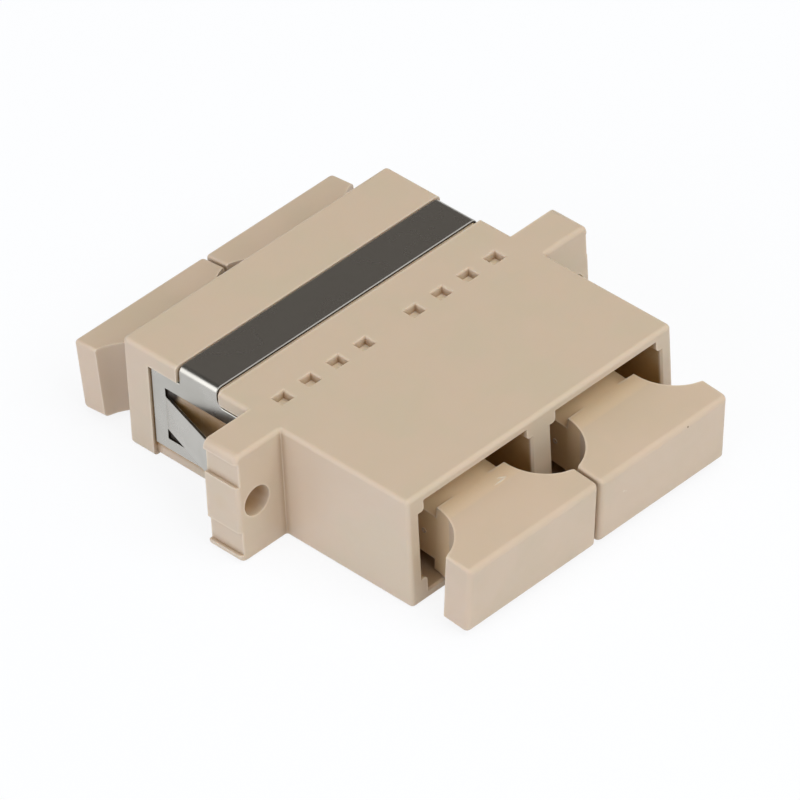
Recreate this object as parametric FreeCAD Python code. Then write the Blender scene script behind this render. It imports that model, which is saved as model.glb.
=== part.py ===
import FreeCAD, Part
import math
import os

# Sizes are in millimetres.
# X runs across the two ports, Y from the front ports to the rear ports, Z is up.
# The origin lies midway between the screw holes, on the face of the ears that meets the panel.

# Ports
port_pitch = 12.7
port_w = 10.8
port_h = 7.6
rib_w = 0.45
rib_top_h = 0.75
rib_low_h = 1.2
rib_r = 0.3

# Body shell
side_wall = 1.1
top_wall = 0.8
front_len = 15.0
rear_len = 12.2
edge_r = 0.35
rim_r = 0.15

# Screw ears
ear_span = 34.3
ear_t = 3.1
ear_root_r = 0.1
ear_corner_r = 0.6
ear_lip_h = 0.7
ear_band_h = 3.9
ear_step = 0.25
hole_inset = 1.75
hole_d = 2.3

# Code recesses in the top
recess_count = 4
recess_pitch = 2.615
recess_w = 1.1
recess_len = 1.0
recess_depth = 0.58
recess_y = -0.75

# Panel clip
sheet_t = 0.22
strip_y = 5.065
strip_w = 3.68
plate_end_y = 9.7
plate_top_z = 3.15
plate_low_z = -3.35
plate_corner_r = 0.6
bend_r = 0.35
groove_depth = 0.22
seat_depth = 0.38
clip_gap = 0.1
strip_gap = 0.32
barb_root_y = 8.4
barb_tip_y = 1.7
barb_h = 3.1
barb_angle = 17.0
barb_taper = 0.3
slit_top_h = 0.45
slit_low_h = 0.85

# Split sleeves
sleeve_od = 3.2
sleeve_id = 2.5
sleeve_len = 11.4
sleeve_slit = 0.4

# Sleeve holders
sleeve_fit = 0.03
sleeve_play = 0.05
tube_wall = 0.32
lip_t = 0.4
lip_overlap = 0.2
flange_t = 0.8
holder_gap = 0.05
prong_gap = 0.05
latch_len = 8.6
latch_h = 3.2
latch_t = 0.7
hook_in = 0.5
hook_len = 1.6
hook_gap = 0.55

# Dust caps
cap_w = 12.45
cap_t = 2.1
cap_stand = 3.15
cap_edge_r = 0.45
cap_end_r = 0.25
shoulder_room = 2.15
shoulder_len = 3.95
scoop_r = 3.9
insert_bevel_w = 1.63
insert_bevel_h = 0.92
insert_gap = 0.95
bore_extra = 1.0
cap_clear = 0.26
cap_rest_gap = 0.05
cap_floor_gap = 0.06

# Small overlap that lets joined solids merge
merge = 0.2
tiny = 1e-6

# Derived sizes
body_w = port_pitch + port_w + 2 * side_wall
body_h = port_h + 2 * top_wall
half_w = body_w / 2
half_h = body_h / 2
hole_spacing = ear_span - 2 * hole_inset
mid_y = (rear_len - front_len) / 2
seam_y = strip_y
strip_front_y = strip_y - strip_w / 2
strip_back_y = strip_y + strip_w / 2
core_half_w = half_w - seat_depth
core_top_z = half_h - groove_depth
shoulder_w = port_w - 2 * shoulder_room
bore_r = sleeve_od / 2 + sleeve_fit
tube_r = bore_r + tube_wall
tube_half = sleeve_len / 2 + sleeve_play + lip_t
socket_r = tube_r + cap_clear
insert_end = flange_t + insert_gap
engagement = tube_half - insert_end
sag = math.atan(2 * (cap_clear - cap_rest_gap) / engagement)
pivot_y = mid_y - (tube_half + insert_end) / 2
mouth_drop = (pivot_y + front_len) * math.tan(sag)
cap_h = 2 * (port_h / 2 - cap_floor_gap - mouth_drop) * math.cos(sag)
left_x = -port_pitch / 2
right_x = port_pitch / 2
corners = ((-1, -1), (1, -1), (1, 1), (-1, 1))


def vec(x, y, z):
    """A point in the shared frame."""
    return FreeCAD.Vector(x, y, z)


def box(x0, x1, y0, y1, z0, z1):
    """A block between two opposite corners."""
    return Part.makeBox(x1 - x0, y1 - y0, z1 - z0, vec(x0, y0, z0))


def rod(radius, x, y0, y1):
    """A round bar along Y at mid height."""
    return Part.makeCylinder(radius, y1 - y0, vec(x, y0, 0), vec(0, 1, 0))


def prism(points, direction):
    """A flat outline pushed along a direction."""
    return Part.Face(Part.makePolygon(points + points[:1])).extrude(direction)


def edges_at(shape, fixed):
    """The edges whose ends all sit at the given coordinates, listed by axis number."""
    return [e for e in shape.Edges
            if all(abs(v.Point[axis] - value) < tiny for v in e.Vertexes for axis, value in fixed.items())]


def arch(half, top, radius, y0, y1, low):
    """A block with its two long top edges rounded."""
    block = box(-half, half, y0, y1, low, top)
    return block.makeFillet(radius, [e for x in (-half, half) for e in edges_at(block, {0: x, 2: top})])


def body_block(y0, y1):
    """A plain block of the body's width and height."""
    return box(-half_w, half_w, y0, y1, -half_h, half_h)


def long_edges(block):
    """The four long edges of a body block."""
    return [e for i, k in corners for e in edges_at(block, {0: i * half_w, 2: k * half_h})]


def ports(y0, y1, end_y):
    """The two port cavities, each with a small lead-in at the port end."""
    tool = None
    for x in (left_x, right_x):
        cavity = box(x - port_w / 2, x + port_w / 2, y0, y1, -port_h / 2, port_h / 2)
        outward = math.copysign(rim_r, end_y)
        wide = [vec(x + i * (port_w / 2 + rim_r), end_y, k * (port_h / 2 + rim_r)) for i, k in corners]
        slim = [vec(x + i * port_w / 2, end_y - outward, k * port_h / 2) for i, k in corners]
        lead = Part.makeLoft([Part.makePolygon(w + w[:1]) for w in (wide, slim)], True)
        tool = cavity.fuse(lead) if tool is None else tool.fuse([cavity, lead])
    return tool


def corner_rib(x, i, k, y0, y1, inset, embed):
    """A rib in one corner of a port, standing off the walls by inset or rooted in them by embed."""
    wall_x = port_w / 2
    wall_z = port_h / 2
    height = rib_top_h if k > 0 else rib_low_h
    free_x = x + i * (wall_x - rib_w)
    free_z = k * (wall_z - height)
    xs = sorted((free_x, x + i * (wall_x - inset + embed)))
    zs = sorted((free_z, k * (wall_z - inset + embed)))
    rib = box(xs[0], xs[1], y0, y1, zs[0], zs[1])
    return rib.makeFillet(rib_r, edges_at(rib, {0: free_x, 2: free_z}))


def side_outline(x, ahead, behind, low, top):
    """The clip's side shape, seen along X, grown by one gap ahead of the strip and another behind it."""
    y0 = clip_gap - behind
    y1 = plate_end_y + behind
    shelf = plate_top_z + ahead
    rear_shelf = plate_top_z + behind
    front = strip_front_y - ahead
    back = strip_back_y + behind
    turn_y = strip_front_y - plate_corner_r
    turn_z = plate_top_z + plate_corner_r
    radius = plate_corner_r - ahead
    bend = radius * math.sqrt(0.5)
    half_way = vec(x, turn_y + bend, turn_z - bend)
    arc = Part.Arc(vec(x, front, turn_z), half_way, vec(x, turn_y, shelf)).toShape()
    path = [vec(x, turn_y, shelf), vec(x, y0, shelf), vec(x, y0, low), vec(x, y1, low),
            vec(x, y1, rear_shelf), vec(x, back, rear_shelf), vec(x, back, top), vec(x, front, top),
            vec(x, front, turn_z)]
    lines = [Part.makeLine(a, b) for a, b in zip(path, path[1:])]
    return Part.Face(Part.Wire(lines + [arc]))


def clip_seat():
    """The groove over the top and the two side recesses that take the clip."""
    front = strip_front_y - strip_gap
    back = strip_back_y + clip_gap
    core = arch(core_half_w, core_top_z, bend_r, front, back, -half_h)
    seat = box(-body_w, body_w, front, back, plate_top_z, body_h).cut(core)
    for side in (-1, 1):
        outline = side_outline(side * core_half_w, strip_gap, clip_gap, -body_h, core_top_z - bend_r)
        seat = seat.fuse(outline.extrude(vec(side * body_w, 0, 0)))
    return seat


def soften_seat(body):
    """The body with the long low edges of its side recesses rounded."""
    low = [e for x in (-core_half_w, core_half_w) for e in edges_at(body, {0: x, 2: -half_h})]
    return body.makeFillet(edge_r, low)


def eared_block():
    """The front of the body and its two ears as one block, with one run of rounded edges round it."""
    reach = ear_span / 2
    wings = box(-reach, reach, -ear_t, 0, -half_h, half_h)
    block = body_block(-front_len, 0).fuse(wings).removeSplitter()
    roots = [e for i in (-1, 1) for e in edges_at(block, {0: i * half_w, 1: -ear_t})]
    block = block.makeFillet(ear_root_r, roots)
    tips = [e for i, k in corners for e in edges_at(block, {0: i * reach, 2: k * half_h})]
    block = block.makeFillet(ear_corner_r, tips)
    run = [e for k in (-1, 1) for e in edges_at(block, {2: k * half_h}) if e.BoundBox.YMax < -tiny]
    run += [e for i in (-1, 1) for e in edges_at(block, {0: i * half_w, 1: -front_len})]
    outer = reach - tiny
    run += [e for e in edges_at(block, {1: -ear_t}) if e.BoundBox.XMax > outer or e.BoundBox.XMin < -outer]
    return block.makeFillet(edge_r, run)


def ear_cuts():
    """The shallow steps in the outer ends of the ears, and the screw holes."""
    reach = ear_span / 2
    cuts = []
    for i, k in corners:
        xs = sorted((i * (reach - ear_step), i * (reach + ear_step)))
        zs = sorted((k * ear_band_h / 2, k * (half_h - ear_lip_h)))
        cuts.append(box(xs[0], xs[1], -body_w, body_w, zs[0], zs[1]))
    return cuts + [rod(hole_d / 2, i * hole_spacing / 2, -body_w, body_w) for i in (-1, 1)]


def recesses():
    """The square code recesses, one row over each port."""
    cuts = []
    for x in (left_x, right_x):
        for i in range(recess_count):
            cx = x + (i - (recess_count - 1) / 2) * recess_pitch
            cuts.append(box(cx - recess_w / 2, cx + recess_w / 2, recess_y - recess_len / 2,
                            recess_y + recess_len / 2, half_h - recess_depth, body_h))
    return cuts


def front_housing():
    """The flanged front half of the body."""
    tail = body_block(0, seam_y)
    tail = tail.makeFillet(edge_r, long_edges(tail))
    body = eared_block().cut(ear_cuts()).fuse(tail)
    body = body.cut(ports(-front_len, seam_y, -front_len))
    stop = mid_y - flange_t
    ribs = [corner_rib(x, i, k, -front_len, stop, 0, merge) for x in (left_x, right_x) for i, k in corners]
    body = body.fuse(ribs)
    body = body.cut([clip_seat()] + recesses())
    return soften_seat(body.removeSplitter())


def rear_housing():
    """The rear half of the body, with prongs that reach in to hold the sleeve holders."""
    body = body_block(seam_y, rear_len)
    body = body.makeFillet(edge_r, long_edges(body) + edges_at(body, {1: rear_len}))
    body = body.cut(ports(seam_y, rear_len, rear_len))
    added = []
    for x in (left_x, right_x):
        for i, k in corners:
            added.append(corner_rib(x, i, k, seam_y, rear_len, 0, merge))
            added.append(corner_rib(x, i, k, mid_y + flange_t, seam_y + merge, prong_gap, 0))
    body = body.fuse(added)
    body = body.cut(clip_seat())
    return soften_seat(body.removeSplitter())


def barb():
    """A spring barb lanced from the right side plate, flaring out towards the ear."""
    outer = core_half_w + sheet_t
    run = barb_root_y - barb_tip_y
    flare = run * math.tan(math.radians(barb_angle))
    skew = sheet_t * math.tan(math.radians(barb_angle) / 2)
    path = [(core_half_w, barb_root_y + merge), (outer, barb_root_y + merge), (outer, barb_root_y),
            (outer + flare, barb_tip_y), (outer + flare - sheet_t, barb_tip_y - skew),
            (core_half_w, barb_root_y - skew)]
    blade = prism([vec(a, b, -barb_h / 2) for a, b in path], vec(0, 0, barb_h))
    inner = core_half_w - sheet_t
    slope = [vec(inner, barb_tip_y - skew, barb_h / 2), vec(inner, barb_root_y, barb_h / 2 - barb_taper),
             vec(inner, barb_root_y + merge, barb_h / 2 - barb_taper), vec(inner, barb_root_y + merge, barb_h / 2)]
    return blade.cut(prism(slope, vec(outer + flare - inner, 0, 0)))


def mounting_clip():
    """One folded sheet: a strip over the top, a plate down each side and a barb in each plate."""
    outer = core_half_w + sheet_t
    top = core_top_z + sheet_t
    low = core_top_z - bend_r - merge
    clip = arch(outer, top, bend_r + sheet_t, strip_front_y, strip_back_y, low)
    clip = clip.cut(arch(core_half_w, core_top_z, bend_r, strip_front_y, strip_back_y, low))
    window_low_z = -barb_h / 2 - slit_low_h
    window_top_z = barb_h / 2 + slit_top_h
    for side in (-1, 1):
        plate = side_outline(side * core_half_w, 0, 0, plate_low_z, core_top_z - bend_r)
        clip = clip.fuse(plate.extrude(vec(side * sheet_t, 0, 0)))
        xs = sorted((side * (core_half_w - sheet_t), side * (outer + sheet_t)))
        clip = clip.cut(box(xs[0], xs[1], barb_tip_y - sheet_t, barb_root_y, window_low_z, window_top_z))
        spring = barb() if side > 0 else barb().mirror(vec(0, 0, 0), vec(1, 0, 0))
        clip = clip.fuse(spring)
    return clip.removeSplitter()


def sleeve(x):
    """A split sleeve centred between the two holders of one port."""
    y0 = mid_y - sleeve_len / 2
    y1 = mid_y + sleeve_len / 2
    ring = rod(sleeve_od / 2, x, y0, y1).cut(rod(sleeve_id / 2, x, y0, y1))
    return ring.cut(box(x - sleeve_slit / 2, x + sleeve_slit / 2, y0, y1, 0, sleeve_od))


def latch(x, side):
    """One latch arm with an inward hook at its tip."""
    root = mid_y - flange_t / 2
    tip = mid_y - latch_len
    inner = shoulder_w / 2 + hook_gap + hook_in
    outer = inner + latch_t
    path = [(inner, root), (inner, tip + hook_len), (inner - hook_in, tip + hook_len),
            (inner - hook_in, tip + hook_len / 2), (inner, tip), (outer, tip), (outer, root)]
    return prism([vec(x + side * a, b, -latch_h / 2) for a, b in path], vec(0, 0, latch_h))


def front_holder(x):
    """A sleeve holder seen from the front: flange, tube with an end lip, and two latch arms."""
    reach_x = port_w / 2 - holder_gap
    reach_z = port_h / 2 - holder_gap
    tip = mid_y - tube_half
    body = box(x - reach_x, x + reach_x, mid_y - flange_t, mid_y, -reach_z, reach_z)
    body = body.fuse([rod(tube_r, x, tip, mid_y), latch(x, -1), latch(x, 1)])
    lip_r = bore_r - lip_overlap
    lead = Part.makeCone(bore_r, lip_r, lip_t / 2, vec(x, tip, 0), vec(0, 1, 0))
    body = body.cut([rod(bore_r, x, tip + lip_t, mid_y), rod(lip_r, x, tip, mid_y), lead])
    return body.removeSplitter()


def cap_outline():
    """The plan shape of a cap: grip plate, two scooped sides and the shoulder."""
    back = -front_len - cap_stand
    end = back + shoulder_len
    hub_x = shoulder_w / 2 + scoop_r
    drop = math.sqrt(scoop_r ** 2 - (hub_x - cap_w / 2) ** 2)
    wide_y = end - drop
    lean = math.atan2(drop, hub_x - cap_w / 2) / 2
    half = cap_w / 2
    neck = shoulder_w / 2
    arcs = []
    for side in (-1, 1):
        mid = vec(side * (hub_x - scoop_r * math.cos(lean)), end - scoop_r * math.sin(lean), 0)
        arcs.append(Part.Arc(vec(side * neck, end, 0), mid, vec(side * half, wide_y, 0)).toShape())
    face_y = back - cap_t
    ends = [vec(-half, wide_y, 0), vec(-half, face_y, 0), vec(half, face_y, 0), vec(half, wide_y, 0)]
    lines = [Part.makeLine(a, b) for a, b in zip(ends, ends[1:])]
    shoulder = Part.makeLine(vec(neck, end, 0), vec(-neck, end, 0))
    return Part.Face(Part.Wire(Part.__sortEdges__(lines + [arcs[1], shoulder, arcs[0]])))


def front_cap(x):
    """A dust cap on a front port, hanging in the clearance between its socket and the holder tube."""
    face_y = -front_len - cap_stand - cap_t
    outline = cap_outline()
    outline.translate(vec(0, 0, -cap_h / 2))
    grip = outline.extrude(vec(0, 0, cap_h))
    ends = [e for i, k in corners for e in edges_at(grip, {0: i * cap_w / 2, 2: k * cap_h / 2})]
    grip = grip.makeFillet(cap_end_r, ends)
    grip = grip.makeFillet(cap_edge_r, edges_at(grip, {1: face_y}))
    half = shoulder_w / 2
    flat = half - insert_bevel_w
    top = cap_h / 2
    side = top - insert_bevel_h
    start = -front_len - cap_stand + shoulder_len
    end = mid_y - insert_end
    ring = [(-half, -side), (-flat, -top), (flat, -top), (half, -side),
            (half, side), (flat, top), (-flat, top), (-half, side)]
    insert = prism([vec(a, start, b) for a, b in ring], vec(0, end - start, 0))
    tube_tip = mid_y - tube_half
    cap = grip.fuse(insert).cut(rod(socket_r, 0, tube_tip - bore_extra, end))
    cap = cap.removeSplitter()
    cap.rotate(vec(0, pivot_y, 0), vec(1, 0, 0), math.degrees(sag))
    cap.translate(vec(x, 0, 0))
    return cap


def to_rear(shape):
    """The same piece turned half round to serve the rear ports."""
    turned = shape.copy()
    turned.rotate(vec(0, mid_y, 0), vec(0, 0, 1), 180)
    return turned


nodes = {
    "front_housing": front_housing(),
    "rear_housing": rear_housing(),
    "mounting_clip": mounting_clip(),
    "left_sleeve": sleeve(left_x),
    "right_sleeve": sleeve(right_x),
    "front_left_holder": front_holder(left_x),
    "front_right_holder": front_holder(right_x),
    "rear_left_holder": to_rear(front_holder(right_x)),
    "rear_right_holder": to_rear(front_holder(left_x)),
    "front_left_cap": front_cap(left_x),
    "front_right_cap": front_cap(right_x),
    "rear_left_cap": to_rear(front_cap(right_x)),
    "rear_right_cap": to_rear(front_cap(left_x)),
}

os.makedirs("parts", exist_ok=True)
for name, solid in nodes.items():
    solid.exportStep("parts/" + name + ".step")
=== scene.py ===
"""The looks of a duplex SC fibre adapter with its dust caps in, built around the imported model.

Lengths are in metres and places are in the model's own frame: X across the ports, Y from the front
ports to the rear ones, Z up, with the origin between the screw holes.
"""

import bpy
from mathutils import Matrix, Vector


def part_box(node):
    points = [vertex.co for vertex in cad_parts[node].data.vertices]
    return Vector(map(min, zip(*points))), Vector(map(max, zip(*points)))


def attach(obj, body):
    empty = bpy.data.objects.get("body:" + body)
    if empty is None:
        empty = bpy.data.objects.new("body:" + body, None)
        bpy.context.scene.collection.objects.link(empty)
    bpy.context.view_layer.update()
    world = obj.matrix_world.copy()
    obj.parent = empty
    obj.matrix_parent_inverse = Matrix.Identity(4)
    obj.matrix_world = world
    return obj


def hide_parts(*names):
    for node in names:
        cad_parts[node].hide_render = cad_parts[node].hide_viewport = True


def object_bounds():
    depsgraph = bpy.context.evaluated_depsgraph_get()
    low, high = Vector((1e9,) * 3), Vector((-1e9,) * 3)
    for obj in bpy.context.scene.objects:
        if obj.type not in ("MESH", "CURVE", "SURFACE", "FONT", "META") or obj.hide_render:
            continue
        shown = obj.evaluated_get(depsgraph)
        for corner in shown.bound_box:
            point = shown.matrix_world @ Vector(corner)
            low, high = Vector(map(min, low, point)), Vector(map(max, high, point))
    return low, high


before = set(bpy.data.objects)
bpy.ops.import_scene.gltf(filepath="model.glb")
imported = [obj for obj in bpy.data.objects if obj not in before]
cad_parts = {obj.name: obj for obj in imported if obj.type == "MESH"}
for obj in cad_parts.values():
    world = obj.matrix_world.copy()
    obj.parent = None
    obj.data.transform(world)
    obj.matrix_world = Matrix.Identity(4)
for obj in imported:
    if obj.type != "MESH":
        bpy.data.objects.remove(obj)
CAD_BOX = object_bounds()
NODE_BOX = {name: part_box(name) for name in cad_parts}

import logging
import math
from contextlib import contextmanager
from dataclasses import dataclass, replace
from enum import Enum
from typing import Any, Callable, Iterator

import bpy
from mathutils import Euler, Matrix, Vector

MM = 0.001
NEAR = 0.002 * MM  # Places this close count as one.
FADE = 0.3 * MM  # A tone kept in a box fades over this much at its sides.
SEAM = NODE_BOX["front_housing"][1].y  # Where the two halves of the body meet.
SHARP = math.radians(40)  # An edge that turns by more is rounded.
COPLANAR = math.radians(0.2)  # Faces that turn by less are merged.
SMOOTH_TURN = math.radians(32)  # Faces that turn by less are shaded as one.
FLAT_WEIGHT = 95  # How much more a large face counts in the shading of its corners.
NEARNESS_RAYS = 3  # Rays that look for near faces at each sample.
LOG = logging.getLogger("fibre_adapter")

Colour = tuple[float, float, float, float]
Place = tuple[float, float, float]
Span = tuple[float, float]
WHITE: Colour = (1.0, 1.0, 1.0, 1.0)


class End(Enum):
    """The two ends of the adapter."""

    FRONT = "front"
    REAR = "rear"


class Side(Enum):
    """The two ports of an end, as seen from the front."""

    LEFT = "left"
    RIGHT = "right"


class Slot(Enum):
    """The material slots that the record names."""

    HOUSING = "housing_plastic"
    CAP = "cap_plastic"
    HOLDER = "holder_plastic"
    STEEL = "spring_steel"
    BRONZE = "sleeve_bronze"


class Pick(Enum):
    """What is selected in edit mode."""

    EDGE = "EDGE"
    FACE = "FACE"


def tone(red: int, green: int, blue: int) -> Colour:
    """Turn an 8-bit display tone into a linear colour, by the sRGB curve.

    Args:
        red: Red, from 0 to 255.
        green: Green, from 0 to 255.
        blue: Blue, from 0 to 255.

    Returns:
        The linear colour with full alpha.
    """
    shares = [value / 255 for value in (red, green, blue)]
    linear = [s / 12.92 if s <= 0.04045 else ((s + 0.055) / 1.055) ** 2.4 for s in shares]
    return (linear[0], linear[1], linear[2], 1.0)


def mix_colours(tree: bpy.types.NodeTree, share: bpy.types.NodeSocket,
                first: Colour | bpy.types.NodeSocket, second: Colour) -> bpy.types.NodeSocket:
    """Mix two colours in a node tree.

    Args:
        tree: The node tree.
        share: Share of the second colour.
        first: A colour, or the socket that gives it.
        second: The colour mixed in.

    Returns:
        The mixed colour.
    """
    node = tree.nodes.new("ShaderNodeMix")
    node.data_type = "RGBA"
    if isinstance(first, tuple):
        node.inputs["A"].default_value = first
    else:
        tree.links.new(first, node.inputs["A"])
    node.inputs["B"].default_value = second
    tree.links.new(share, node.inputs["Factor"])
    return node.outputs["Result"]


class NodeBench:
    """A new material's node tree, with short calls that add and join nodes."""

    def __init__(self, name: str) -> None:
        """Start a material whose patterns follow Object coordinates.

        Args:
            name: The material's name.
        """
        self.material = bpy.data.materials.new(name)
        self.material.use_nodes = True
        self.tree = self.material.node_tree
        self.shader = self.tree.nodes["Principled BSDF"]
        self.coords = self.add("ShaderNodeTexCoord").outputs["Object"]

    def add(self, kind: str, **settings: Any) -> bpy.types.Node:
        """Add a node.

        Args:
            kind: The node's type.
            settings: Its properties.

        Returns:
            The node.
        """
        node = self.tree.nodes.new(kind)
        for name, value in settings.items():
            setattr(node, name, value)
        return node

    def join(self, source: bpy.types.NodeSocket, node: bpy.types.Node, socket: str | int) -> None:
        """Link a socket to a node's input."""
        self.tree.links.new(source, node.inputs[socket])

    def noise(self, scale: float, detail: float = 2.0, stretch: Place = (1, 1, 1)) -> bpy.types.NodeSocket:
        """Add a noise pattern.

        Args:
            scale: Pattern repeats in a metre.
            detail: Octaves of finer noise.
            stretch: Scale along each axis, less than 1 drawing the pattern out.

        Returns:
            The pattern's value, around a half.
        """
        mapping = self.add("ShaderNodeMapping")
        mapping.inputs["Scale"].default_value = stretch
        self.join(self.coords, mapping, "Vector")
        node = self.add("ShaderNodeTexNoise")
        node.inputs["Scale"].default_value = scale
        node.inputs["Detail"].default_value = detail
        self.join(mapping.outputs["Vector"], node, "Vector")
        return node.outputs["Fac"]

    def spread(self, source: bpy.types.NodeSocket, start: float, end: float,
               low: float = 0.0, high: float = 1.0) -> bpy.types.NodeSocket:
        """Spread the part of a value between start and end over low to high.

        Args:
            source: The value.
            start: Value that becomes low.
            end: Value that becomes high.
            low: Result at start and before it.
            high: Result at end and past it.

        Returns:
            The new value.
        """
        node = self.add("ShaderNodeMapRange", interpolation_type="SMOOTHSTEP")
        for socket, value in zip(("From Min", "From Max", "To Min", "To Max"), (start, end, low, high)):
            node.inputs[socket].default_value = value
        self.join(source, node, "Value")
        return node.outputs["Result"]

    def blend(self, share: bpy.types.NodeSocket, first: Colour | bpy.types.NodeSocket,
              second: Colour) -> bpy.types.NodeSocket:
        """Mix two colours in the material."""
        return mix_colours(self.tree, share, first, second)

    def bump(self, height: bpy.types.NodeSocket, depth: float,
             under: bpy.types.NodeSocket | None = None) -> bpy.types.NodeSocket:
        """Raise a pattern on the surface.

        Args:
            height: The pattern.
            depth: Height of the pattern at its full value.
            under: Normal of a coarser pattern beneath.

        Returns:
            The new normal.
        """
        node = self.add("ShaderNodeBump")
        node.inputs["Distance"].default_value = depth
        self.join(height, node, "Height")
        if under is not None:
            self.join(under, node, "Normal")
        return node.outputs["Normal"]

    def nearness(self, reach: float, start: float, end: float, most: float = 1.0, inside: bool = False,
                 alone: bool = True) -> bpy.types.NodeSocket:
        """Find where faces close in on a point.

        Args:
            reach: How far from the point to look.
            start: Open share of the view at which the result is full.
            end: Open share at which it is nothing.
            most: The full result.
            inside: Whether to look into the material, which finds outer edges, or out of it,
                which finds hollows.
            alone: Whether only the piece's own faces count.

        Returns:
            The full result on edges or in hollows, 0 on open flats.
        """
        node = self.add("ShaderNodeAmbientOcclusion", samples=NEARNESS_RAYS, inside=inside, only_local=alone)
        node.inputs["Distance"].default_value = reach
        return self.spread(node.outputs["AO"], start, end, most, 0.0)

    def within(self, low: Place, high: Place, share: bpy.types.NodeSocket) -> bpy.types.NodeSocket:
        """Keep a value inside a box.

        Args:
            low: The box's low corner.
            high: The box's high corner.
            share: The value.

        Returns:
            The value inside the box, 0 outside it.
        """
        parts = self.add("ShaderNodeSeparateXYZ")
        self.join(self.coords, parts, 0)
        for axis, (start, end) in enumerate(zip(low, high)):
            away = self.add("ShaderNodeMath", operation="SUBTRACT")
            away.inputs[1].default_value = (start + end) / 2
            self.join(parts.outputs[axis], away, 0)
            plain = self.add("ShaderNodeMath", operation="ABSOLUTE")
            self.join(away.outputs[0], plain, 0)
            both = self.add("ShaderNodeMath", operation="MULTIPLY")
            half = (end - start) / 2
            self.join(self.spread(plain.outputs[0], half - FADE, half, 1.0, 0.0), both, 0)
            self.join(share, both, 1)
            share = both.outputs[0]
        return share

    def spot(self, place: Place, radius: float) -> bpy.types.NodeSocket:
        """Mark a small round spot.

        Args:
            place: Middle of the spot.
            radius: Its radius.

        Returns:
            1 inside the spot, 0 outside.
        """
        node = self.add("ShaderNodeVectorMath", operation="DISTANCE")
        self.join(self.coords, node, 0)
        node.inputs[1].default_value = place
        return self.spread(node.outputs["Value"], radius / 2, radius, 1.0, 0.0)


@dataclass(frozen=True)
class SpeckAndShade:
    """A small spot of another colour on a surface, used for real specks and for spots of painted shade."""

    place: Place
    radius: float
    colour: Colour

    def mirrored(self) -> "SpeckAndShade":
        """Give the same spot on the adapter's other side."""
        return replace(self, place=(-self.place[0], *self.place[1:]))


@dataclass(frozen=True)
class MouldedPlastic:
    """A satin moulded plastic with faint flow blotches and a fine texture, painted highlights on its outer
    edges, painted shade in its creases and painted shading in its hollows.
    """

    name: str
    body: Colour
    blotch: Colour
    # Tone of the painted highlights on outer edges.
    edge: Colour
    # Tone of the painted shading in hollows, found by ambient occlusion: painted shade on the body, holders
    # and flake, painted bounced light on the caps.
    hollow: Colour
    # Tone of the painted shade in creases and inner corners.
    crevice_shade: Colour = tone(146, 104, 54)
    gloss: Span = (0.36, 0.48)
    specks_and_shades: tuple[SpeckAndShade, ...] = ()
    index: float = 1.5
    gloss_scale: float = 900.0
    gloss_span: Span = (0.3, 0.7)
    blotch_scale: float = 210.0
    blotch_span: Span = (0.42, 0.66)
    wave_scale: float = 150.0
    wave_depth: float = 0.012 * MM
    grain_scale: float = 7000.0
    grain_depth: float = 0.0018 * MM
    edge_highlight_reach: float = 0.2 * MM
    edge_highlight_span: Span = (0.45, 0.95)
    edge_highlight_low: Place = (-1.0, -1.0, -1.0)
    edge_highlight_high: Place = (1.0, 1.0, 1.0)
    crevice_shade_reach: float = 0.55 * MM
    crevice_shade_share: float = 0.7
    crevice_shade_span: Span = (0.4, 0.9)
    hollow_shading_reach: float = 7.0 * MM
    hollow_shading_share: float = 0.75
    hollow_shading_span: Span = (0.3, 0.75)
    hollow_shading_low: Place = (-12.8 * MM, -14.9 * MM, -3.9 * MM)
    hollow_shading_high: Place = (12.8 * MM, 12.1 * MM, 3.9 * MM)
    scatter: float = 0.16
    scatter_reach: float = 0.4 * MM
    scatter_shares: Place = (1.0, 0.55, 0.28)

    def material(self) -> bpy.types.Material:
        """Give the plastic's material, made the first time it is asked for.

        Returns:
            The material.
        """
        return bpy.data.materials.get(self.name) or self.mix()

    def mix(self) -> bpy.types.Material:
        """Make the plastic's material.

        Returns:
            The material.
        """
        bench = NodeBench(self.name)
        shader = bench.shader
        blotches = bench.spread(bench.noise(self.blotch_scale, detail=3.0), *self.blotch_span)
        colour = bench.blend(blotches, self.body, self.blotch)
        # Painted shading in the hollows of the ports, from ambient occlusion that counts every piece.
        hollows = bench.nearness(self.hollow_shading_reach, *self.hollow_shading_span, self.hollow_shading_share, alone=False)
        hollows = bench.within(self.hollow_shading_low, self.hollow_shading_high, hollows)
        colour = bench.blend(hollows, colour, self.hollow)
        # Painted shade in creases and inner corners, from short-reach ambient occlusion.
        crevice_shade_mask = bench.nearness(self.crevice_shade_reach, *self.crevice_shade_span, self.crevice_shade_share)
        colour = bench.blend(crevice_shade_mask, colour, self.crevice_shade)
        # Painted highlights on rounded outer edges, found by looking into the material for near faces.
        edges = bench.nearness(self.edge_highlight_reach, *self.edge_highlight_span, inside=True)
        edges = bench.within(self.edge_highlight_low, self.edge_highlight_high, edges)
        colour = bench.blend(edges, colour, self.edge)
        # Real specks, and spots of painted shade behind the barbs' slits and in the screw holes.
        for speck_and_shade in self.specks_and_shades:
            colour = bench.blend(bench.spot(speck_and_shade.place, speck_and_shade.radius), colour, speck_and_shade.colour)
        bench.join(colour, shader, "Base Color")
        sheen = bench.spread(bench.noise(self.gloss_scale, detail=4.0), *self.gloss_span, *self.gloss)
        bench.join(sheen, shader, "Roughness")
        waves = bench.bump(bench.noise(self.wave_scale, detail=1.0), self.wave_depth)
        grain = bench.bump(bench.noise(self.grain_scale), self.grain_depth, waves)
        bench.join(grain, shader, "Normal")
        shader.inputs["IOR"].default_value = self.index
        shader.inputs["Subsurface Weight"].default_value = self.scatter
        shader.inputs["Subsurface Radius"].default_value = self.scatter_shares
        shader.inputs["Subsurface Scale"].default_value = self.scatter_reach
        return bench.material


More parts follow.
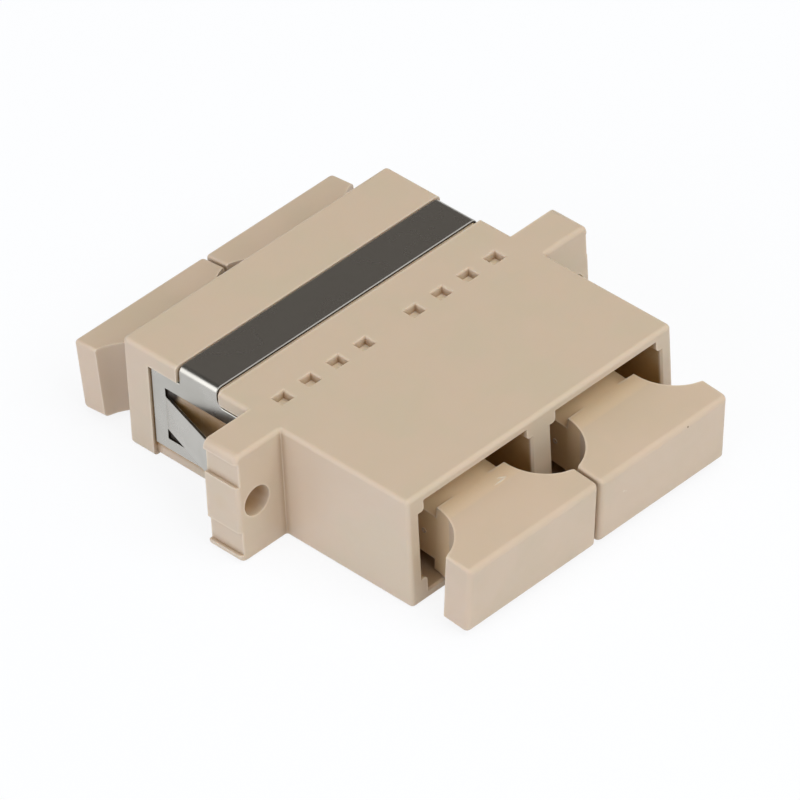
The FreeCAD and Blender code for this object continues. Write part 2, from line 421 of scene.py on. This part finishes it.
@dataclass(frozen=True)
class RolledMetal:
    """A bright rolled metal, with fine streaks along the rolling and faint smudges."""

    name: str
    body: Colour
    smudge: Colour
    gloss: Span
    streak_depth: float
    streak_scale: float = 9000.0
    streak_stretch: Place = (0.03, 1.0, 0.03)
    smudge_scale: float = 260.0
    smudge_span: Span = (0.4, 0.7)

    def material(self) -> bpy.types.Material:
        """Give the metal's material, made the first time it is asked for.

        Returns:
            The material.
        """
        return bpy.data.materials.get(self.name) or self.mix()

    def mix(self) -> bpy.types.Material:
        """Make the metal's material.

        Returns:
            The material.
        """
        bench = NodeBench(self.name)
        shader = bench.shader
        streaks = bench.noise(self.streak_scale, detail=3.0, stretch=self.streak_stretch)
        smudges = bench.spread(bench.noise(self.smudge_scale, detail=4.0), *self.smudge_span)
        bench.join(bench.blend(smudges, self.body, self.smudge), shader, "Base Color")
        bench.join(bench.spread(smudges, 0.0, 1.0, *self.gloss), shader, "Roughness")
        bench.join(bench.bump(streaks, self.streak_depth), shader, "Normal")
        shader.inputs["Metallic"].default_value = 1.0
        return bench.material


SLIT_SHADE = tone(58, 50, 42)
HOLE_SHADE = tone(196, 160, 114)
# Painted shade behind the two slits beside the right-hand barb, and inside the right-hand screw hole.
RIGHT_SHADES = (
    SpeckAndShade((12.6 * MM, 8.1 * MM, -2.0 * MM), 1.5 * MM, SLIT_SHADE),
    SpeckAndShade((12.6 * MM, 8.1 * MM, 1.7 * MM), 1.1 * MM, SLIT_SHADE),
    SpeckAndShade((15.4 * MM, -1.4 * MM, 0.0), 2.0 * MM, HOLE_SHADE))
HOUSING_PLASTIC = MouldedPlastic(
    "beige_housing_plastic", tone(205, 184, 158), tone(202, 184, 157), tone(220, 203, 179),
    tone(158, 117, 52), hollow_shading_share=0.9,
    specks_and_shades=tuple(shade.mirrored() for shade in RIGHT_SHADES) + RIGHT_SHADES)
# The painted edge highlights stop short of the seam, so that the two halves look like one moulding there.
HALF_PLASTIC = {
    End.FRONT: replace(HOUSING_PLASTIC, name="beige_front_plastic", edge_highlight_high=(1.0, SEAM - NEAR, 1.0)),
    End.REAR: replace(HOUSING_PLASTIC, name="beige_rear_plastic", edge_highlight_low=(-1.0, SEAM + NEAR, -1.0))}
# The caps' hollow tone is lighter and warmer than their body: painted bounced light on the parts inside the
# ports.
CAP_PLASTIC = MouldedPlastic(
    "beige_cap_plastic", tone(205, 183, 157), tone(201, 181, 154), tone(219, 202, 179),
    tone(238, 206, 154), blotch_scale=160.0,
    hollow_shading_low=(-12.8 * MM, -16.0 * MM, -3.9 * MM),
    hollow_shading_high=(12.8 * MM, 13.2 * MM, 3.9 * MM),
    specks_and_shades=(
        SpeckAndShade((8.589 * MM, -20.399 * MM, 1.058 * MM), 0.09 * MM, tone(112, 88, 60)),
        SpeckAndShade((2.383 * MM, -20.24 * MM, -0.815 * MM), 0.11 * MM, tone(216, 201, 181)),
        SpeckAndShade((2.62 * MM, -20.23 * MM, -0.95 * MM), 0.08 * MM, tone(214, 199, 178))))
# The gate mark's plastic, with a fainter painted edge highlight.
MARK_PLASTIC = replace(CAP_PLASTIC, name="beige_gate_mark", edge=tone(208, 187, 161))
HOLDER_PLASTIC = MouldedPlastic(
    "beige_holder_plastic", tone(194, 172, 144), tone(188, 168, 140), tone(210, 192, 166),
    tone(196, 150, 72), blotch_scale=300.0)
FLAKE_PLASTIC = MouldedPlastic(
    "pale_flake_plastic", tone(216, 200, 177), tone(208, 190, 165), tone(224, 210, 189),
    tone(204, 184, 156), blotch_scale=2000.0)
CLIP_STEEL = RolledMetal(
    "rolled_spring_steel", tone(186, 184, 179), tone(179, 177, 171), (0.27, 0.33), 0.0003 * MM)
# Sheared edges, duller than the sheet and darker still as painted shade of the narrow gaps beside them.
CUT_STEEL_AND_GAP_SHADE = RolledMetal(
    "sheared_edge_and_painted_shade", tone(88, 80, 70), tone(66, 58, 50), (0.5, 0.65), 0.003 * MM,
    streak_scale=5000.0, streak_stretch=(1.0, 1.0, 0.2))
SLEEVE_BRONZE = RolledMetal(
    "polished_bronze", tone(219, 172, 118), tone(213, 165, 110), (0.2, 0.26), 0.0001 * MM,
    streak_scale=6000.0, streak_stretch=(1.0, 0.05, 1.0))


def let_go() -> None:
    """Deselect every object."""
    bpy.ops.object.select_all(action="DESELECT")


def take_only(piece: bpy.types.Object) -> None:
    """Select one piece alone and make it active.

    Args:
        piece: The piece.
    """
    let_go()
    piece.select_set(True)
    bpy.context.view_layer.objects.active = piece


@contextmanager
def editing(piece: bpy.types.Object, pick: Pick = Pick.EDGE) -> Iterator[None]:
    """Hold a piece in edit mode.

    Args:
        piece: The piece.
        pick: What is selected there.

    Returns:
        A context in which the mesh operators act on the piece.
    """
    take_only(piece)
    bpy.ops.object.mode_set(mode="EDIT")
    bpy.ops.mesh.select_mode(type=pick.value)
    yield
    bpy.ops.object.mode_set(mode="OBJECT")


def anywhere(first: Vector, second: Vector) -> bool:
    """Take any edge."""
    return True


def pick_sharp_edges(piece: bpy.types.Object, here: Callable[[Vector, Vector], bool]) -> int:
    """Select the sharp edges that lie where a test says.

    Args:
        piece: The piece.
        here: Test of an edge's two ends.

    Returns:
        How many edges are selected.
    """
    with editing(piece):
        bpy.ops.mesh.select_all(action="DESELECT")
        bpy.ops.mesh.edges_select_sharp(sharpness=SHARP)
    mesh = piece.data
    points = [vertex.co for vertex in mesh.vertices]
    kept = [edge.index for edge in mesh.edges
            if edge.select and here(points[edge.vertices[0]], points[edge.vertices[1]])]
    with editing(piece):
        bpy.ops.mesh.select_all(action="DESELECT")
    for index in kept:
        mesh.edges[index].select = True
    return len(kept)


def pick_faces(piece: bpy.types.Object, here: Callable[[Vector, Vector], bool]) -> int:
    """Select the faces that lie where a test says.

    Args:
        piece: The piece.
        here: Test of a face's middle and normal.

    Returns:
        How many faces are selected.
    """
    with editing(piece, Pick.FACE):
        bpy.ops.mesh.select_all(action="DESELECT")
    kept = [face for face in piece.data.polygons if here(face.center, face.normal)]
    for face in kept:
        face.select = True
    return len(kept)


def round_sharp_edges(piece: bpy.types.Object, radius: float, segments: int = 2,
                      here: Callable[[Vector, Vector], bool] = anywhere) -> None:
    """Round the sharp edges that lie where a test says.

    Args:
        piece: The piece.
        radius: How far the rounding reaches from the edge.
        segments: Strips in the rounding.
        here: Test of an edge's two ends.
    """
    if pick_sharp_edges(piece, here):
        with editing(piece):
            bpy.ops.mesh.bevel(offset=radius, segments=segments, affect="EDGES", clamp_overlap=True,
                               loop_slide=False)


def settle(piece: bpy.types.Object, body: str, smooth_to: float = SMOOTH_TURN) -> None:
    """Smooth a piece's rounded faces, keep its flats flat and put it on its body.

    Args:
        piece: The piece.
        body: The body that it rides on.
        smooth_to: Largest turn between faces that still looks round.
    """
    take_only(piece)
    bpy.ops.object.shade_smooth_by_angle(angle=smooth_to)
    modifier = piece.modifiers.new("flat_faces", "WEIGHTED_NORMAL")
    modifier.keep_sharp = True
    modifier.weight = FLAT_WEIGHT
    bpy.ops.object.modifier_apply(modifier=modifier.name)
    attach(piece, body)
    LOG.info("%s: %d faces", piece.name, len(piece.data.polygons))


@dataclass
class DressedNode:
    """A piece of the adapter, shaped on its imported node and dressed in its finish."""

    node: str
    body: str
    slot: Slot
    finish: MouldedPlastic | RolledMetal
    edge_round: float = 0.04 * MM
    smooth_to: float = SMOOTH_TURN

    def copy_shape(self) -> bpy.types.Object:
        """Copy the node's mesh as a new piece, with its loose triangles merged into whole faces.

        Returns:
            The new piece.
        """
        piece = bpy.data.objects.new(f"{self.node}_dressed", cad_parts[self.node].data.copy())
        bpy.context.scene.collection.objects.link(piece)
        take_only(piece)
        bpy.ops.mesh.customdata_custom_splitnormals_clear()
        with editing(piece):
            bpy.ops.mesh.select_all(action="SELECT")
            bpy.ops.mesh.remove_doubles(threshold=NEAR / 10)
            bpy.ops.mesh.dissolve_limited(angle_limit=COPLANAR)
        return piece

    def soften(self, piece: bpy.types.Object) -> None:
        """Round all the sharp edges a little."""
        round_sharp_edges(piece, self.edge_round)

    def dress(self, piece: bpy.types.Object) -> None:
        """Give the piece its finish."""
        piece.data.materials.clear()
        piece.data.materials.append(self.finish.material())

    def build(self) -> bpy.types.Object:
        """Build and dress the piece in place of its node.

        Returns:
            The finished piece.
        """
        piece = self.copy_shape()
        self.soften(piece)
        self.dress(piece)
        settle(piece, self.body, self.smooth_to)
        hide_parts(self.node)
        return piece


@dataclass
class Housing(DressedNode):
    """One half of the adapter's body."""

    pocket_round: float = 0.17 * MM
    pocket_drop: float = 0.12 * MM
    hole_round: float = 0.09 * MM
    pocket_zone: float = 2.0 * MM
    hole_reach: float = 15.4 * MM
    hole_zone: float = 1.4 * MM
    mouth_zone: float = 0.5 * MM
    facing_up: float = 0.99

    def soften(self, piece: bpy.types.Object) -> None:
        """Deepen the pockets a little, round their mouths well and then the other outer edges.

        Args:
            piece: The piece.
        """
        if pick_faces(piece, self.at_pocket_floor):
            with editing(piece, Pick.FACE):
                bpy.ops.transform.translate(value=(0.0, 0.0, -self.pocket_drop))
        round_sharp_edges(piece, self.pocket_round, segments=4, here=self.at_pocket)
        round_sharp_edges(piece, self.hole_round, here=self.at_hole)
        for here in (self.at_ear, self.at_rim, self.at_seat):
            round_sharp_edges(piece, self.edge_round, here=here)

    def between_ears(self, point: Vector) -> bool:
        """Tell a point that lies well inside the body's two side walls."""
        return abs(point.x) < NODE_BOX["rear_housing"][1].x - self.pocket_zone / 2

    def at_pocket_floor(self, middle: Vector, normal: Vector) -> bool:
        """Tell the floor of a pocket in the top.

        Args:
            middle: A face's middle.
            normal: Its normal.

        Returns:
            Whether the face is such a floor.
        """
        below = CAD_BOX[1].z - middle.z
        low = normal.z > self.facing_up and NEAR < below < self.pocket_zone / 2
        return low and -self.pocket_zone < middle.y < -NEAR and self.between_ears(middle)

    def at_pocket(self, first: Vector, second: Vector) -> bool:
        """Tell an edge at the mouth of a pocket in the top.

        Args:
            first: One end of the edge.
            second: Its other end.

        Returns:
            Whether the edge is one of these.
        """
        on_top = min(first.z, second.z) > CAD_BOX[1].z - NEAR
        inner = self.between_ears(first) and self.between_ears(second)
        return on_top and inner and -self.pocket_zone < max(first.y, second.y) < -NEAR

    def at_hole(self, first: Vector, second: Vector) -> bool:
        """Tell an edge at the rim of a screw hole."""
        return all(math.hypot(abs(end.x) - self.hole_reach, end.z) < self.hole_zone
                   for end in (first, second))

    def at_ear(self, first: Vector, second: Vector) -> bool:
        """Tell an edge on an ear."""
        wall = NODE_BOX["rear_housing"][1].x
        return min(abs(first.x), abs(second.x)) > wall + NEAR and not self.at_hole(first, second)

    def past_mouth(self, point: Vector) -> float:
        """Measure how far a point lies outside the nearer port mouth, less than 0 inside the port."""
        return max(NODE_BOX["front_housing"][0].y - point.y, point.y - NODE_BOX["rear_housing"][1].y)

    def at_rim(self, first: Vector, second: Vector) -> bool:
        """Tell an edge on the end face round the ports."""
        return min(self.past_mouth(first), self.past_mouth(second)) > -NEAR

    def at_seat(self, first: Vector, second: Vector) -> bool:
        """Tell an outer edge beside the clip.

        Args:
            first: One end of the edge.
            second: Its other end.

        Returns:
            Whether the edge is one of these.
        """
        wall = NODE_BOX["rear_housing"][1]
        outer = min(abs(first.x), abs(second.x)) > wall.x - NEAR or min(first.z, second.z) > wall.z - NEAR
        inner = max(self.past_mouth(first), self.past_mouth(second)) < -self.mouth_zone
        return outer and inner and min(first.y, second.y) > NEAR


@dataclass
class DustCap(DressedNode):
    """A pull-out dust cap."""

    end: End = End.FRONT
    scoop_round: float = 0.13 * MM
    plate_depth: float = 2.3 * MM
    neck_depth: float = 6.6 * MM
    plate_margin: float = 0.4 * MM

    def depth(self, point: Vector) -> float:
        """Measure how far a point lies behind the cap's face."""
        low, high = NODE_BOX[self.node]
        return point.y - low.y if self.end is End.FRONT else high.y - point.y

    def at_neck(self, first: Vector, second: Vector) -> bool:
        """Tell an edge of the scooped neck, clear of the grip plate's own rounding.

        Args:
            first: One end of the edge.
            second: Its other end.

        Returns:
            Whether the edge is one of these.
        """
        low, high = NODE_BOX[self.node]
        middle, half = (low.x + high.x) / 2, (high.x - low.x) / 2 - self.plate_margin
        return all(abs(end.x - middle) < half and self.plate_depth < self.depth(end) < self.neck_depth
                   for end in (first, second))

    def at_insert(self, first: Vector, second: Vector) -> bool:
        """Tell an edge of the part inside the port."""
        return min(self.depth(first), self.depth(second)) > self.neck_depth

    def soften(self, piece: bpy.types.Object) -> None:
        """Round the scoops well, then the insert a little."""
        round_sharp_edges(piece, self.scoop_round, segments=3, here=self.at_neck)
        round_sharp_edges(piece, self.edge_round, here=self.at_insert)


@dataclass
class PanelClip(DressedNode):
    """The folded spring clip that holds the adapter in its panel."""

    smooth_to: float = math.radians(13)
    cut_finish_and_shade: RolledMetal = CUT_STEEL_AND_GAP_SHADE
    cut_facing: float = 0.9
    flat_facing: float = 0.2
    bend_zone: float = 0.7 * MM
    outline_round: float = 0.08 * MM
    window_low: Place = (12.0 * MM, 1.0 * MM, -3.0 * MM)
    window_high: Place = (15.0 * MM, 9.0 * MM, 2.6 * MM)

    def at_window(self, point: Vector) -> bool:
        """Tell a point on a barb or on the window that it was cut from."""
        parts = zip(self.window_low, (abs(point.x), point.y, point.z), self.window_high)
        return all(low < value < high for low, value, high in parts)

    def at_outline(self, first: Vector, second: Vector) -> bool:
        """Tell an edge of the sheet's outline."""
        return not (self.at_window(first) and self.at_window(second))

    def soften(self, piece: bpy.types.Object) -> None:
        """Round the sheet's outline, then the barbs and their windows a little less."""
        round_sharp_edges(piece, self.outline_round, here=self.at_outline)
        round_sharp_edges(piece, self.edge_round)

    def dress(self, piece: bpy.types.Object) -> None:
        """Finish the sheet bright, and its sheared edges dull and dark, their darkness partly painted shade
        of the narrow gaps round the sheet.

        Args:
            piece: The piece.
        """
        super().dress(piece)
        piece.data.materials.append(self.cut_finish_and_shade.material())
        bend_low = NODE_BOX[self.node][1].z - self.bend_zone
        for face in piece.data.polygons:
            end_cut = abs(face.normal.y) > self.cut_facing
            level_cut = abs(face.normal.x) < self.flat_facing and face.center.z < bend_low
            face.material_index = int(end_cut or level_cut)


@dataclass
class GateMark:
    """The small round scar that a dust cap keeps on its side from the moulding."""

    cap: str
    body: str
    end: End
    radius: float = 0.2 * MM
    height: float = 0.05 * MM
    sink: float = 0.02 * MM
    behind_face: float = 7.27 * MM
    level: float = -0.7 * MM
    neck_depth: float = 8.0 * MM
    facets: int = 28
    rim_share: float = 0.3
    slope_share: float = 0.25

    def place(self) -> Vector:
        """Find the mark's place on the side of the cap's insert.

        Returns:
            The middle of the mark.
        """
        low, high = NODE_BOX[self.cap]
        points = [vertex.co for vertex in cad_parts[self.cap].data.vertices]
        if self.end is End.FRONT:
            side = min(point.x for point in points if point.y > low.y + self.neck_depth)
            return Vector((side, low.y + self.behind_face, self.level))
        side = max(point.x for point in points if point.y < high.y - self.neck_depth)
        return Vector((side, high.y - self.behind_face, self.level))

    def build(self) -> bpy.types.Object:
        """Raise the mark as a low ring with a hollow middle.

        Returns:
            The finished piece.
        """
        out = Vector((-1.0 if self.end is End.FRONT else 1.0, 0.0, 0.0))
        let_go()
        bpy.ops.mesh.primitive_circle_add(vertices=self.facets, radius=self.radius, fill_type="NGON",
                                          location=self.place() - out * self.sink,
                                          rotation=(0.0, out.x * math.pi / 2, 0.0))
        piece = bpy.context.active_object
        piece.name = f"{self.cap}_gate_mark"
        with editing(piece, Pick.FACE):
            bpy.ops.mesh.select_all(action="SELECT")
            rise = out * (self.height + self.sink)
            bpy.ops.mesh.extrude_region_move(TRANSFORM_OT_translate={"value": rise})
            bpy.ops.mesh.inset(thickness=self.radius * self.rim_share)
            bpy.ops.mesh.inset(thickness=self.radius * self.slope_share)
            bpy.ops.transform.translate(value=-out * self.height)
            bpy.ops.mesh.select_all(action="SELECT")
            bpy.ops.mesh.normals_make_consistent(inside=False)
        bpy.ops.object.transform_apply(location=True, rotation=True, scale=True)
        round_sharp_edges(piece, self.height / 3)
        piece.data.materials.append(MARK_PLASTIC.material())
        settle(piece, self.body)
        return piece


@dataclass
class Flake:
    """A thin pale curl of plastic left on the top of the left front cap."""

    start: Place = (-4.05 * MM, -15.58 * MM, 1.85 * MM)
    ends: tuple[Place, ...] = ((-4.67 * MM, -15.25 * MM, 1.885 * MM),
                               (-5.25 * MM, -15.63 * MM, 1.845 * MM))
    widths: tuple[float, ...] = (0.13 * MM, 0.12 * MM)
    rise: float = 0.05 * MM
    tip_share: float = 0.12
    smooth_to: float = math.radians(80)

    def stroke(self, end: Place, width: float) -> bpy.types.Object:
        """Draw one arm of the curl, from a small block to a blade with thin tips.

        Args:
            end: The arm's far end.
            width: Its width in the middle.

        Returns:
            The arm.
        """
        start = Vector(self.start)
        run = Vector(end) - start
        turn = (0.0, -math.asin(run.z / run.length), math.atan2(run.y, run.x))
        let_go()
        bpy.ops.mesh.primitive_cube_add(size=1.0, location=start + run / 2, rotation=turn,
                                        scale=(run.length, width, 2 * self.rise))
        arm = bpy.context.active_object
        with editing(arm):
            bpy.ops.mesh.select_all(action="SELECT")
            bpy.ops.mesh.subdivide(number_cuts=3)
        bpy.ops.object.transform_apply(location=True, rotation=True, scale=True)
        for vertex in arm.data.vertices:
            along = (vertex.co - start).dot(run) / run.length_squared
            axis = start + run * along
            swell = math.sin(math.pi * min(max(along, 0.0), 1.0))
            vertex.co = axis + (vertex.co - axis) * (self.tip_share + (1.0 - self.tip_share) * swell)
        return arm

    def build(self) -> bpy.types.Object:
        """Join the curl's arms, smooth them and lay them on the cap.

        Returns:
            The finished piece.
        """
        arms = [self.stroke(end, width) for end, width in zip(self.ends, self.widths)]
        take_only(arms[0])
        for arm in arms:
            arm.select_set(True)
        bpy.ops.object.join()
        piece = bpy.context.active_object
        piece.name = "front_left_cap_flake"
        modifier = piece.modifiers.new("soft_curl", "SUBSURF")
        modifier.levels = modifier.render_levels = 2
        bpy.ops.object.modifier_apply(modifier=modifier.name)
        piece.data.materials.append(FLAKE_PLASTIC.material())
        settle(piece, "front_left_dust_cap", self.smooth_to)
        return piece


def aim(item: bpy.types.Object) -> None:
    """Turn a card or lamp from where it hangs to face the adapter."""
    item.rotation_mode = "QUATERNION"
    item.rotation_quaternion = item.location.to_track_quat("Z", "Y")


@dataclass(frozen=True)
class Card:
    """A flat card that only reflections show."""

    name: str
    place: Place
    width: float
    height: float
    glow: Colour

    def build(self) -> None:
        """Hang the card facing the adapter."""
        let_go()
        bpy.ops.mesh.primitive_plane_add(size=1.0, location=self.place)
        card = bpy.context.active_object
        card.name = self.name
        card.scale = (self.width, self.height, 1.0)
        aim(card)
        material = bpy.data.materials.new(self.name)
        material.use_nodes = True
        tree = material.node_tree
        tree.nodes.remove(tree.nodes["Principled BSDF"])
        glow = tree.nodes.new("ShaderNodeEmission")
        glow.inputs["Color"].default_value = self.glow
        tree.links.new(glow.outputs[0], tree.nodes["Material Output"].inputs["Surface"])
        card.data.materials.append(material)
        card.visible_camera = False
        card.visible_diffuse = False
        card.visible_transmission = False
        card.visible_shadow = False


@dataclass(frozen=True)
class SoftBox:
    """A square soft light aimed at the adapter."""

    name: str
    place: Place
    side: float
    power: float
    tint: Place

    def build(self) -> None:
        """Hang the light."""
        let_go()
        bpy.ops.object.light_add(type="AREA", location=self.place)
        lamp = bpy.context.active_object
        lamp.name = self.name
        lamp.data.size = self.side
        lamp.data.energy = self.power
        lamp.data.color = self.tint
        lamp.visible_glossy = False
        aim(lamp)


@dataclass
class Studio:
    """The floor, soft lights and cards round the adapter."""

    floor_side: float = 6.0
    floor_tone: Colour = (0.91, 0.95, 1.0, 1.0)
    floor_glow: float = 0.86
    sky: float = 0.4
    horizon: Colour = (0.92, 1.0, 1.22, 1.0)
    zenith: Colour = (1.02, 1.0, 0.96, 1.0)
    boxes: tuple[SoftBox, ...] = (
        SoftBox("top_soft_box", (0.10, -0.05, 0.74), 0.5, 1.5, (1.0, 0.98, 0.88)),
        SoftBox("left_soft_box", (-0.72, 0.0, 0.24), 0.6, 2.4, (0.97, 1.0, 1.2)),
        SoftBox("front_soft_box", (0.08, -0.53, 0.53), 0.6, 2.5, (0.98, 1.0, 1.06)))
    cards: tuple[Card, ...] = (
        Card("charcoal_card", (0.31, 0.33, 0.36), 0.66, 0.68, (0.165, 0.151, 0.138, 1.0)),
        Card("black_card", (-0.04, 0.33, 0.47), 0.42, 0.5, (0.07, 0.066, 0.06, 1.0)),
        Card("white_card", (-0.45, 0.34, 0.22), 0.42, 0.44, (2.2, 2.2, 2.2, 1.0)))

    def seen_rays(self, tree: bpy.types.NodeTree) -> bpy.types.NodeSocket:
        """Tell the rays that show the background from those that light the adapter.

        Args:
            tree: The node tree that asks.

        Returns:
            1 for camera, glossy and transmission rays, otherwise 0.
        """
        path = tree.nodes.new("ShaderNodeLightPath")
        total = path.outputs["Is Camera Ray"]
        for name in ("Is Glossy Ray", "Is Transmission Ray"):
            node = tree.nodes.new("ShaderNodeMath")
            node.operation = "MAXIMUM"
            tree.links.new(total, node.inputs[0])
            tree.links.new(path.outputs[name], node.inputs[1])
            total = node.outputs[0]
        return total

    def build_world(self) -> None:
        """Light the adapter from all round, a little cooler from the sides, before a white background."""
        world = bpy.data.worlds.new("white_tent")
        world.use_nodes = True
        bpy.context.scene.world = world
        tree = world.node_tree
        seen = self.seen_rays(tree)
        strength = tree.nodes.new("ShaderNodeMapRange")
        strength.inputs["To Min"].default_value = self.sky
        strength.inputs["To Max"].default_value = 1.0
        tree.links.new(seen, strength.inputs["Value"])
        direction = tree.nodes.new("ShaderNodeTexCoord")
        parts = tree.nodes.new("ShaderNodeSeparateXYZ")
        tree.links.new(direction.outputs["Generated"], parts.inputs["Vector"])
        tent = mix_colours(tree, parts.outputs["Z"], self.horizon, self.zenith)
        background = tree.nodes["Background"]
        tree.links.new(mix_colours(tree, seen, tent, WHITE), background.inputs["Color"])
        tree.links.new(strength.outputs["Result"], background.inputs["Strength"])

    def build_floor(self, height: float) -> None:
        """Lay a white floor that keeps the adapter's shadow.

        Args:
            height: The floor's level.
        """
        let_go()
        bpy.ops.mesh.primitive_plane_add(size=self.floor_side, location=(0.0, 0.0, height))
        floor = bpy.context.active_object
        floor.name = "floor"
        material = bpy.data.materials.new("white_floor")
        material.use_nodes = True
        tree = material.node_tree
        tree.nodes.remove(tree.nodes["Principled BSDF"])
        matte = tree.nodes.new("ShaderNodeBsdfDiffuse")
        matte.inputs["Color"].default_value = self.floor_tone
        glow = tree.nodes.new("ShaderNodeEmission")
        share = tree.nodes.new("ShaderNodeMath")
        share.operation = "MULTIPLY"
        share.inputs[1].default_value = self.floor_glow
        tree.links.new(self.seen_rays(tree), share.inputs[0])
        mix = tree.nodes.new("ShaderNodeMixShader")
        tree.links.new(share.outputs[0], mix.inputs["Fac"])
        tree.links.new(matte.outputs[0], mix.inputs[1])
        tree.links.new(glow.outputs[0], mix.inputs[2])
        tree.links.new(mix.outputs[0], tree.nodes["Material Output"].inputs["Surface"])
        floor.data.materials.append(material)

    def build(self) -> None:
        """Build the floor, lights and cards."""
        self.build_world()
        self.build_floor(CAD_BOX[0].z)
        for item in self.boxes + self.cards:
            item.build()
        LOG.info("studio: floor at %.4f m", CAD_BOX[0].z)


@dataclass
class PhotoCamera:
    """The camera at the photograph's place."""

    place: Place = (-0.341413, -0.360713, 0.391859)
    heading: float = math.radians(43.535)
    dip: float = math.radians(38.434)
    roll: float = math.radians(-3.2)
    lens: float = 416.26

    def build(self) -> None:
        """Set the camera up and make it the scene's own."""
        data = bpy.data.cameras.new("photo_camera")
        data.lens = self.lens
        camera = bpy.data.objects.new("photo_camera", data)
        level = Euler((math.pi / 2 - self.dip, 0.0, -self.heading)).to_matrix()
        turned = level @ Matrix.Rotation(self.roll, 3, "Z")
        camera.matrix_world = Matrix.Translation(self.place) @ turned.to_4x4()
        bpy.context.scene.collection.objects.link(camera)
        bpy.context.scene.camera = camera
        LOG.info("camera: %.0f mm lens", self.lens)


def main() -> None:
    """Build the adapter piece by piece, then the studio and the camera."""
    logging.basicConfig(level=logging.INFO, format="%(name)s %(message)s")
    bpy.context.scene.view_settings.view_transform = "Standard"
    for end in End:
        Housing(f"{end.value}_housing", "adapter", Slot.HOUSING, HALF_PLASTIC[end]).build()
    PanelClip("mounting_clip", "adapter", Slot.STEEL, CLIP_STEEL).build()
    for side in Side:
        DressedNode(f"{side.value}_sleeve", "adapter", Slot.BRONZE, SLEEVE_BRONZE).build()
        for end in End:
            spot = f"{end.value}_{side.value}"
            DressedNode(f"{spot}_holder", "adapter", Slot.HOLDER, HOLDER_PLASTIC).build()
            DustCap(f"{spot}_cap", f"{spot}_dust_cap", Slot.CAP, CAP_PLASTIC, end=end).build()
            GateMark(f"{spot}_cap", f"{spot}_dust_cap", end).build()
    Flake().build()
    Studio().build()
    PhotoCamera().build()


if __name__ == "__main__":
    main()
